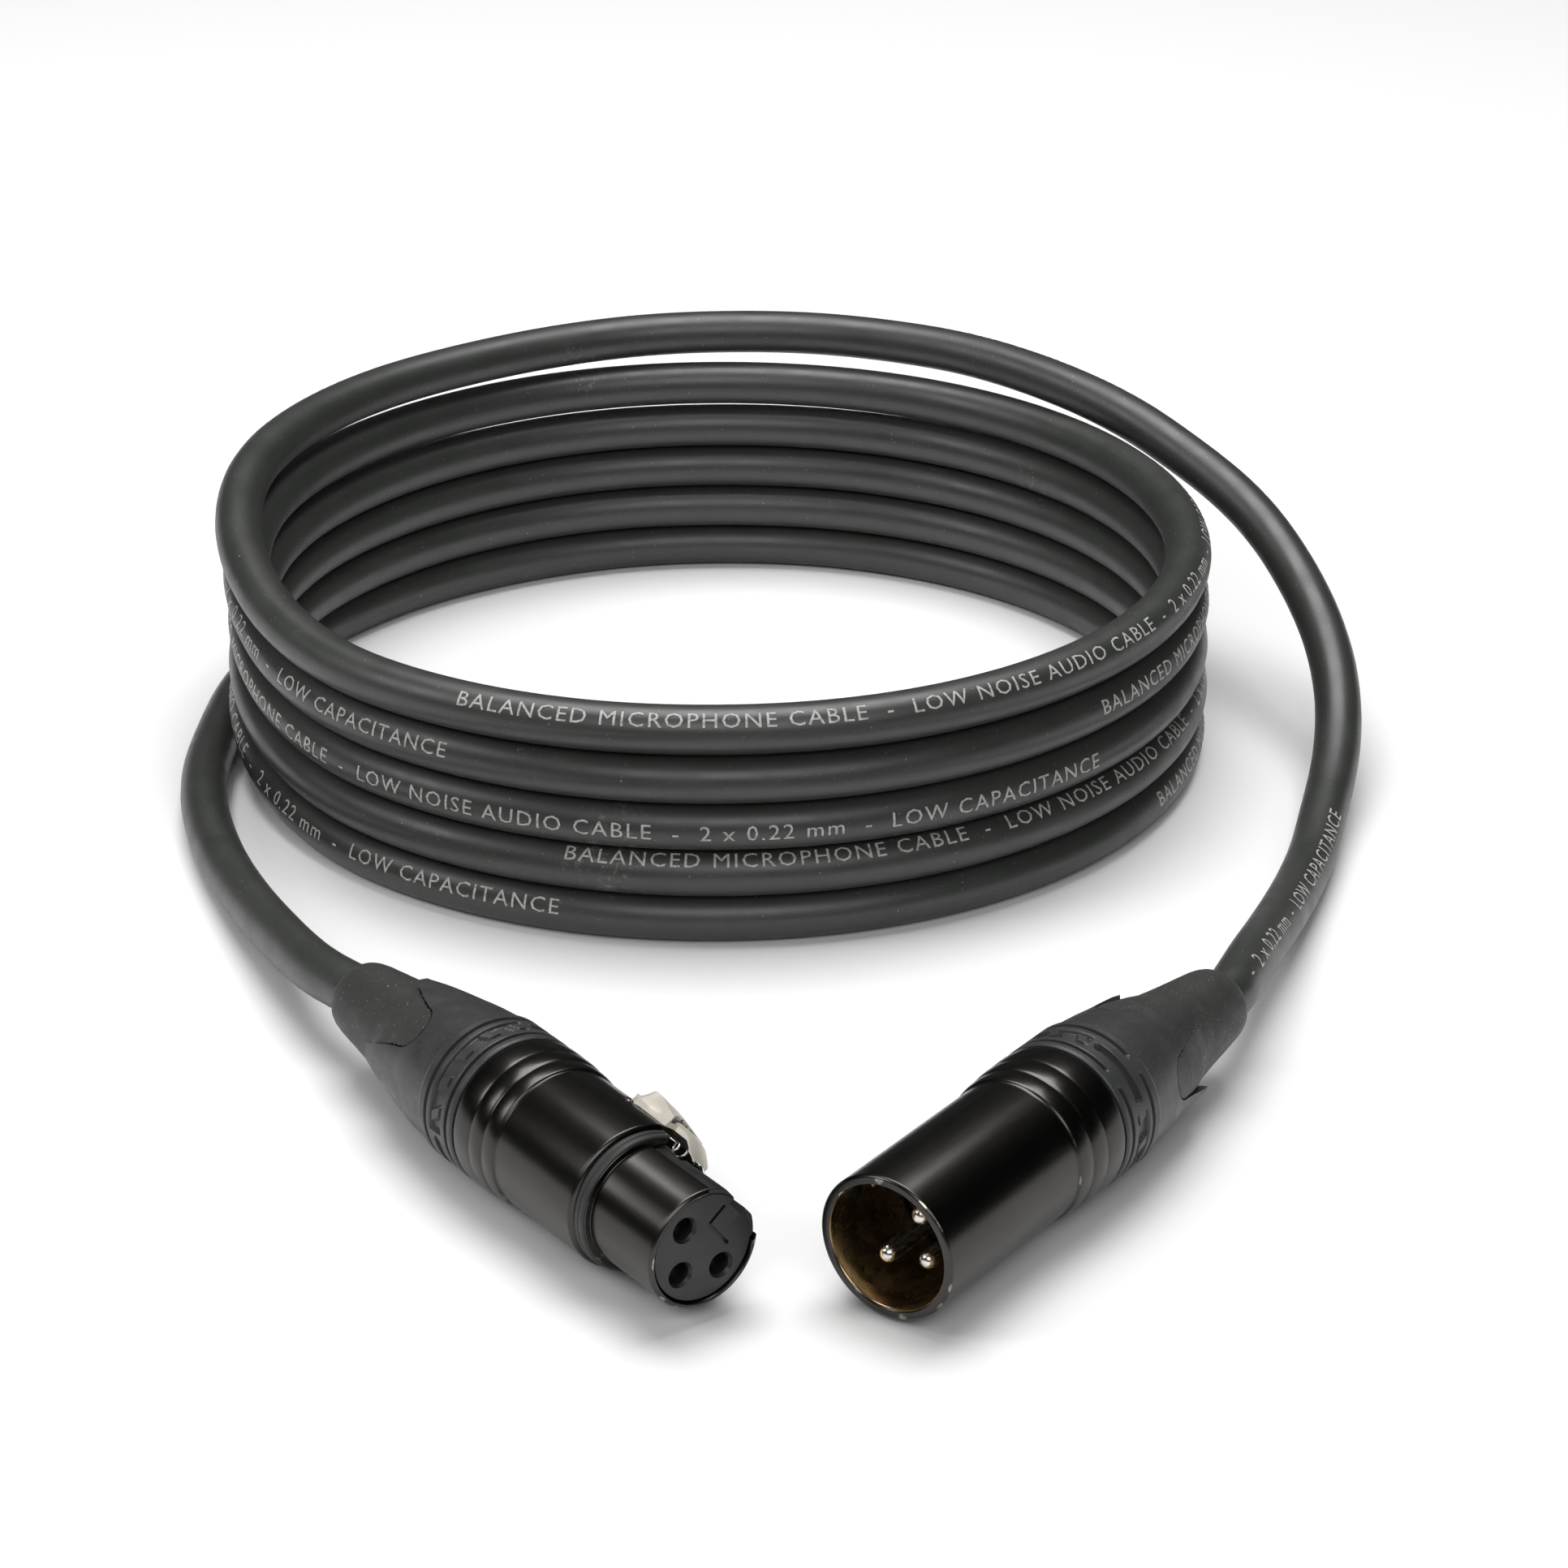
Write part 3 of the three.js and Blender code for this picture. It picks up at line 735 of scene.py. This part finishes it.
def make_boot(connector, name, body, cutout_turn):
    """The soft strain relief, which comes up flush through the bushing's cut-outs."""
    end = connector["shell_end"]
    facet = np.arange(BOOT_FACETS) * 360 / BOOT_FACETS
    away = (facet - cutout_turn + 45) % 90 - 45  # 0 in the middle of a cut-out
    outline = [(8.2, CABLE_R + 0.45), (8.2, 7.9)]
    for b in np.arange(12.6, 24.41, 0.16):
        flush = np.interp(b, [13.5, 18, 22, 24.4], [9.37, 8.6, 7.65, 6.95])
        under = taper(b) - TAB_WALL - 0.3
        lateral = np.abs(np.radians(away)) * flush
        room = cutout_half_width(b + 0.02) - 0.02 - lateral
        near_front = ramp(b, CUTOUT_FROM - 0.05, CUTOUT_FROM + 0.15)
        lobe = ramp(room, -0.1, 0.12) * near_front
        under = min(under, 6.95)
        outline.append((b, under + (flush - under) * lobe))
    outline += [(24.9, 6.88), (27.4, 6.5), (30, 6.15), (33, 5.78), (36, 5.4), (37.3, 5.15),
                (37.9, 4.95), (38.3, 4.7), (BOOT_END, 4.4)]
    outline += [(BOOT_END, CABLE_R + 0.55), (BOOT_END - 0.4, CABLE_R + 0.32),
                (BOOT_END - 3, CABLE_R + 0.32), (BOOT_END - 4, CABLE_R + 0.45)]
    boot = turned("boot", [(b + end, r) for b, r in outline], "boot",
                  BOOT_FACETS)
    smooth(boot, 40)
    return settle(boot, f"{name}_boot_sleeve", connector, body, "boot_rubber", f"{name}_boot")


# ---- shells ----

def crown(x0, x1, r0, r1, bulge=0.10, steps=6):
    """A slightly convex ring from x0 to x1."""
    made = []
    for k in range(steps + 1):
        t = k / steps
        made.append((x0 + (x1 - x0) * t, r0 + (r1 - r0) * t + bulge * 4 * t * (1 - t)))
    return made


def make_female_shell():
    end = FEMALE["shell_end"]
    bore = FEMALE_BORE_R
    outline = [
        (0, bore + 0.15), (0, NOSE_R - 0.35), (0.35, NOSE_R), (12.5, NOSE_R), (12.5, 8.6),
        (SHOULDER - 0.25, 8.6), (SHOULDER, BARREL_R - 0.25), (SHOULDER + 0.3, BARREL_R),
        (30.7, BARREL_R + 0.02), (31, BARREL_R + 0.05),
        *crown(31.2, 33.4, 9.72, 9.82), *crown(33.8, 36, 9.97, 10.02),
        *crown(36.4, end - 0.3, 10.1, 10.06, 0.08), (end, 9.9),
        (end, REAR_BORE_R), (24.2, REAR_BORE_R), (24.2, bore), (0.3, bore),
    ]
    shell = turned("shell", soften(outline, SHELL_EDGE), "chrome", 144)
    tools = [
        block((-1, 12.2), (-5.45, 5.45), (4.6, 12)),
        block((8.2, 21.1), (-LATCH_WINDOW, LATCH_WINDOW), (6.9, 12)),
        block((21, 23.9), (-2.6, 2.6), (6.9, 12)),
        block((20.5, 24.1), (-LATCH_WINDOW, LATCH_WINDOW), (8.9, 12)),
    ]
    combine(shell, tools, "DIFFERENCE")
    smooth(shell, 30)
    return settle(shell, "female_shell_body", FEMALE, "cable", "black_chrome", "female_shell")


def make_collar():
    """The plain plastic ring between the nose and the barrel."""
    outline = [(12.6, 7.9), (12.6, 8.75), (12.85, 8.95), (13.3, 8.95), (13.4, 8.8), (13.55, 8.8),
               (13.65, 8.97), (14.25, 8.97), (14.25, 8.62), (12.9, 8.62), (12.9, 7.9)]
    collar = turned("collar", soften(outline, 0.06, 2), "collar", 144)
    combine(collar, [block((11, 16), (-LATCH_WINDOW, LATCH_WINDOW), (6.5, 12))], "DIFFERENCE")
    smooth(collar, 30)
    return settle(collar, "female_collar", FEMALE, "cable", "insert_plastic")


def make_female_insert():
    body = turned("insert", soften([(0.35, 0), (0.35, INSERT_R), (24.5, INSERT_R), (24.5, 0)], 0.2,
                                    closed=False), "insert", 120, closed=False)
    saddle = turned("saddle", soften([(0.6, 6), (0.6, 7.5), (12.3, 7.5), (12.3, 6)], 0.2), "insert", 144)
    combine(saddle, [block((-1, 14), (-5.1, 5.1), (4.75, 12))], "INTERSECT")
    combine(body, [saddle], "UNION")
    tools = [
        block((-1, 9), (-1.25, 1.25), (5.9, 12)),
        block((-1, 13), (-3.6, 3.6), (6.85, 12)),
        block((8.6, 13.2), (-3.8, 3.8), (5.9, 12)),
    ]
    for degrees in CONTACT_ANGLES:
        funnel = turned("hole", [(-0.5, 0), (-0.5, 1.9), (0.35, 1.72), (0.8, 1.42), (1.4, 1.42),
                                 (1.4, 2.1), (26, 2.1), (26, 0)], "insert", 48, closed=False)
        tools.append(around(funnel, degrees))
    tools.append(block((0, 0.85), (1.5, 1.95), (2.2, 5.4)))  # the two strokes of the L-shaped line
    tools.append(block((0, 0.85), (-2.7, 1.95), (2.2, 2.65)))
    combine(body, tools, "DIFFERENCE")
    smooth(body, 30)
    return settle(body, "female_insert_body", FEMALE, "cable", "insert_plastic", "female_insert")


def make_contacts():
    cup = [(24.4, 1.19), (24.4, 1.45), (28, 1.45), (28, 0.95), (24, 0.95), (24, 0)]
    pin = [(3, 0), (3, 0.18), (3.07, 0.48), (3.25, 0.78), (3.55, 1.02), (3.95, 1.15), (4.3, 1.19)]
    socket = [(15, 0), (15, 1.2), (SOCKET_MOUTH + 0.1, 1.2), (SOCKET_MOUTH, 1.3),
              (SOCKET_MOUTH + 0.05, 1.6), (17, 1.6), (17, 1.8),
              (22, 1.8), (22, 1.45), (29, 1.45), (29, 0.95), (25, 0.95), (25, 0)]
    for i, degrees in enumerate(CONTACT_ANGLES, 1):
        piece = turned("pin", [*pin, *cup], "silver", 48, closed=False)
        smooth(around(piece, degrees), 30)
        settle(piece, f"male_pin_{i}_turned", MALE, "cable", "contact_silver", f"male_pin_{i}")
        piece = turned("socket", socket, "silver", 48, closed=False)
        smooth(around(piece, degrees), 30)
        settle(piece, f"female_socket_{i}_turned", FEMALE, "cable", "contact_silver",
               f"female_socket_{i}")


def make_male_shell():
    end = MALE["shell_end"]
    bore = MALE_BORE_R
    outline = [
        (0, bore + 0.25), (0, 9.12), (0.3, 9.42), (27.1, BARREL_R), (27.4, BARREL_R + 0.05),
        *crown(27.7, 30.2, 9.72, 9.82), *crown(30.6, 33.2, 9.97, 10.02),
        *crown(33.6, end - 0.3, 10.1, 10.06, 0.08), (end, 9.9),
        (end, REAR_BORE_R), (24, REAR_BORE_R), (24, bore), (0.3, bore),
    ]
    shell = turned("shell", soften(outline, SHELL_EDGE), "chrome", 144)
    combine(shell, [block((6.6, 14.6), (-1.05, 1.05), (7, 8.5))], "UNION")
    combine(shell, [block((2.6, 6), (-2.2, 2.2), (7, 12))], "DIFFERENCE")
    shell.data.materials.append(LOOKS["bore"])
    for face in shell.data.polygons:
        x, y, z = face.center / MM
        if x < 24 and y * y + z * z < (bore + 0.1) ** 2:
            face.material_index = 1
    smooth(shell, 30)
    return settle(shell, "male_shell_body", MALE, "cable", "black_chrome", "male_shell")


def make_male_insert():
    body = turned("insert", soften([(15, 0), (15, 7.8), (23.8, 7.8), (23.8, 0)], 0.2, closed=False),
                  "insert", 120, closed=False)
    tools = [around(rod(14, 26, 1.45), degrees) for degrees in CONTACT_ANGLES]
    tools += [block((14, 15.5), (1.6, 1.95), (2.2, 5.4)), block((14, 15.5), (-2.7, 1.95), (2.2, 2.55))]
    combine(body, tools, "DIFFERENCE")
    smooth(body, 30)
    return settle(body, "male_insert_body", MALE, "cable", "insert_plastic", "male_insert")


# ---- the latch ----

# Distance behind the mating face, and radius: the lever's top along its middle, its side edges,
# and its underside.
LATCH_FRONT, LATCH_REAR = 9.5, 22.7
TONGUE_TOP = [(LATCH_FRONT, 7.9), (10, 8.45), (10.8, 9.15), (11.8, 9.85), (12.9, 10.2), (17.5, 10.55)]
PAD_TOP = [(14.6, 10.7), (17, 11.2), (19, 11.6), (21.3, 11.95), (21.9, 11.75), (22.4, 11.1),
           (LATCH_REAR, 10)]
PAD_EDGE = [(14.6, 9.5), (16.5, 9.9), (21.2, 10.3), (22.4, 10.1), (LATCH_REAR, 9.7)]
LATCH_UNDER = [(LATCH_FRONT, 7.75), (10.8, 8.7), (11.8, 9.25), (14.6, 9.35), (20.8, 9.5),
               (LATCH_REAR, 9.3)]
TONGUE_HALF_WIDTH, PAD_HALF_WIDTH = 2.15, 3.4
CREASE_DEPTH = 0.55
LATCH_RIM = 0.97  # the crease ends this far across, short of the lever's sides
LATCH_PIN = (22.3, 8.3)


def latch_half_width(x):
    """A narrow tongue with a rounded tip, then the wide thumb pad."""
    tongue = TONGUE_HALF_WIDTH - 0.8 * (1 - ramp(x, LATCH_FRONT, 10.4))
    widening = (PAD_HALF_WIDTH - TONGUE_HALF_WIDTH) * ramp(x, 14.5, 14.9)
    return tongue + widening - 0.3 * ramp(x, 21.6, LATCH_REAR)


def pad_front(y):
    """Where the thumb pad begins, along the lever."""
    return 16.7 - 2.1 * (np.abs(y) / PAD_HALF_WIDTH) ** 1.5


def latch_top(x, y, columns):
    """Radius of the lever's outside: the pad stands proud of the tongue along a curved step.

    columns runs from -1 to 1 across the lever."""
    crowned = 1 - np.abs(columns) ** 2.4
    ridge = 0.97 - 0.42 * ramp(x, 15.2, 21.5)
    flank = np.clip((np.abs(columns) - ridge) / (1 - ridge), 0, 1) ** 0.9
    pad_edge = np.interp(x, *zip(*PAD_EDGE))
    pad = pad_edge + (np.interp(x, *zip(*PAD_TOP)) - pad_edge) * (1 - flank)
    pad += 0.12 * (1 - ramp(np.abs(np.abs(columns) - ridge + 0.03), 0.02, 0.08)) - 0.12 * crowned
    tongue = np.interp(x, *zip(*TONGUE_TOP)) - 0.3 * (1 - crowned)
    step = pad_front(y)
    crease = CREASE_DEPTH * (1 - ramp(np.abs(x - step + 0.3), 0.14, 0.36))
    crease = crease * (np.abs(columns) < LATCH_RIM)
    dimple = 0.3 * (1 - ramp(np.hypot((x - 19.9) / 1.15, y / 0.55), 0.7, 1.05))
    return tongue + (pad - tongue) * ramp(x - step, -0.02, 0.14) - crease - dimple


def make_latch():
    rows = np.arange(LATCH_FRONT, LATCH_REAR + 0.01, 0.1)
    columns = np.linspace(-1, 1, 49)
    top, under = [], []
    for x in rows:
        y = columns * latch_half_width(x)
        r_top = latch_top(x, y, columns)
        r_under = np.minimum(np.interp(x, *zip(*LATCH_UNDER)), r_top - 0.1)
        for surface, r in ((top, r_top), (under, r_under)):
            surface.append(np.stack([np.full_like(y, x), y, np.sqrt(r * r - y * y)], 1))
    count, width = len(rows), len(columns)
    vertices = np.concatenate([*top, *under])
    lower = count * width
    faces = []
    for i in range(count - 1):
        for j in range(width - 1):
            a, b = i * width + j, (i + 1) * width + j
            faces.append((a, b, b + 1, a + 1))
            faces.append((lower + a, lower + a + 1, lower + b + 1, lower + b))
        for j in (0, width - 1):
            a, b = i * width + j, (i + 1) * width + j
            faces.append((a, b, lower + b, lower + a))
    for i in (0, count - 1):
        for j in range(width - 1):
            a = i * width + j
            faces.append((a, a + 1, lower + a + 1, lower + a))
    lever = link_mesh("latch", vertices, faces, "nickel")
    # Painted shade: the upward faces along the step from tongue to pad take the dark chuck plastic.
    lever.data.materials.append(LOOKS["chuck"])
    for face in lever.data.polygons:
        x, y = (c / MM for c in face.center[:2])
        in_crease_shade = abs(x - pad_front(y) + 0.1) < 0.16
        if in_crease_shade and face.normal.z > 0.1 and abs(y) < LATCH_RIM * latch_half_width(x):
            face.material_index = 1
    x, z = LATCH_PIN
    boss = block((x - 1.1, x + 1.1), (-2.3, 2.3), (z - 1.1, z + 1.9))
    combine(lever, [boss], "UNION")
    hole = rod(-5, 5, 0.75)
    hole.data.transform(Matrix.Rotation(pi / 2, 4, "Z"))
    combine(lever, [moved(hole, x, 0, z)], "DIFFERENCE")
    smooth(lever, 32)
    return settle(lever, "latch_lever_pressed", FEMALE, "latch", "latch_nickel", "latch_lever")


SPRING_WIRE_R = 0.14


def make_latch_spring():
    """One and a half loops of wire under the lever, with a leg at each end."""
    coil_r, turns, steps = 0.75, 1.5, 24
    start, end = Vector((13.2, 2.3, 7.4)), Vector((12.2, 0.8, 7.55))
    points = [(18, 2.6, 7.2), (14.5, 2.6, start.z - coil_r)]
    for k in range(int(turns * steps) + 1):
        angle = -pi / 2 - k / steps * 2 * pi
        middle = start.lerp(end, k / (turns * steps))
        points.append(tuple(middle + coil_r * Vector((cos(angle), 0, sin(angle)))))
    points += [(14.6, -0.2, 8.4), (17, -0.4, 8.6)]
    curve = bpy.data.curves.new("spring", "CURVE")
    curve.dimensions = "3D"
    curve.bevel_depth = SPRING_WIRE_R * MM
    curve.bevel_resolution = 3
    curve.use_fill_caps = True
    line = curve.splines.new("POLY")
    line.points.add(len(points) - 1)
    for point, place in zip(line.points, points):
        point.co = (*(MM * c for c in place), 1)
    wire = bpy.data.objects.new("spring", curve)
    bpy.context.scene.collection.objects.link(wire)
    bpy.context.view_layer.update()
    mesh = bpy.data.meshes.new_from_object(wire.evaluated_get(bpy.context.evaluated_depsgraph_get()))
    bpy.data.objects.remove(wire)
    mesh.materials.clear()
    mesh.materials.append(LOOKS["spring"])
    spring = bpy.data.objects.new("latch_spring_wire", mesh)
    bpy.context.scene.collection.objects.link(spring)
    smooth(spring, 60)
    return settle(spring, "latch_spring_wire", FEMALE, "cable", "spring_steel", "latch_spring")


# ---- pieces kept from the CAD ----

KEPT = {
    "latch_pin": "silver",
    "female_chuck": "chuck", "male_chuck": "chuck",
    "female_ground_spring": "spring", "male_ground_spring": "spring",
    "female_wire_1": "copper", "male_wire_1": "copper",
    "female_wire_2": "red", "male_wire_2": "red",
    "female_wire_3": "white", "male_wire_3": "white",
}


def dress_kept_nodes():
    for name, look in KEPT.items():
        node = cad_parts[name]
        node.data.materials.clear()
        node.data.materials.append(LOOKS[look])


# ---- studio ----

FLOOR_REACH = 12  # metres


def make_floor():
    mesh = bpy.data.meshes.new("floor")
    corners = [(-1, -1), (1, -1), (1, 1), (-1, 1)]
    mesh.from_pydata([(x * FLOOR_REACH, y * FLOOR_REACH, 0) for x, y in corners], [], [(0, 1, 2, 3)])
    mesh.materials.append(floor_look())
    floor = bpy.data.objects.new("floor", mesh)
    bpy.context.scene.collection.objects.link(floor)


def make_world():
    """A soft studio: bright above and behind, dim at both sides and low down on the near side."""
    world = bpy.data.worlds.new("studio")
    bpy.context.scene.world = world
    world.use_nodes = True
    tree = world.node_tree
    background = tree.nodes["Background"]
    place = tree.nodes.new("ShaderNodeTexCoord")
    parts = tree.nodes.new("ShaderNodeSeparateXYZ")
    tree.links.new(place.outputs["Generated"], parts.inputs[0])

    def ranged(source, numbers):
        node = tree.nodes.new("ShaderNodeMapRange")
        node.interpolation_type = "SMOOTHSTEP"
        tree.links.new(source, node.inputs[0])
        for socket, number in zip(node.inputs[1:5], numbers):
            socket.default_value = number
        return node.outputs[0]

    def joined(operation, *sources):
        node = tree.nodes.new("ShaderNodeMath")
        node.operation = operation
        for socket, source in zip(node.inputs, sources):
            tree.links.new(source, socket)
        return node.outputs[0]

    above = ranged(parts.outputs["Z"], (-0.05, 0.9, 0.22, 1.35))
    behind = ranged(parts.outputs["Y"], (-0.6, 0.6, 0.0, 0.4))
    flags = ranged(joined("ABSOLUTE", parts.outputs["X"]), (0.35, 0.95, 1.0, 0.16))
    shaded = joined("MULTIPLY", joined("ADD", above, behind), flags)
    tree.links.new(shaded, background.inputs["Strength"])


LIGHT_AIM = (0, 0.08, 0)


def area_light(name, place, size, power):
    data = bpy.data.lights.new(name, "AREA")
    data.shape = "RECTANGLE"
    data.size, data.size_y = size
    data.energy = power
    light = bpy.data.objects.new(name, data)
    light.location = place
    light.rotation_euler = (Vector(LIGHT_AIM) - Vector(place)).to_track_quat("-Z", "Y").to_euler()
    bpy.context.scene.collection.objects.link(light)


def make_lights():
    area_light("overhead", (0, 0.35, 1.1), (0.9, 0.7), 13)
    area_light("left", (-0.9, -0.1, 0.7), (0.4, 0.4), 2.5)
    area_light("front", (0.1, -1.1, 1.0), (1.4, 0.7), 9)


# ---- everything ----

make_camera()
path = cable_path()
cable = make_cable(path)
make_print(path)
make_female_shell()
make_collar()
make_female_insert()
make_male_shell()
make_male_insert()
make_contacts()
make_latch()
make_latch_spring()
make_bushing(FEMALE, "female", "female_bushing", 90, 0)
make_boot(FEMALE, "female", "female_bushing", 0)
make_bushing(MALE, "male", "male_bushing", 189, 45)
make_boot(MALE, "male", "male_bushing", 45)
dress_kept_nodes()
make_floor()
make_world()
make_lights()
bpy.context.scene.view_settings.view_transform = "Standard"
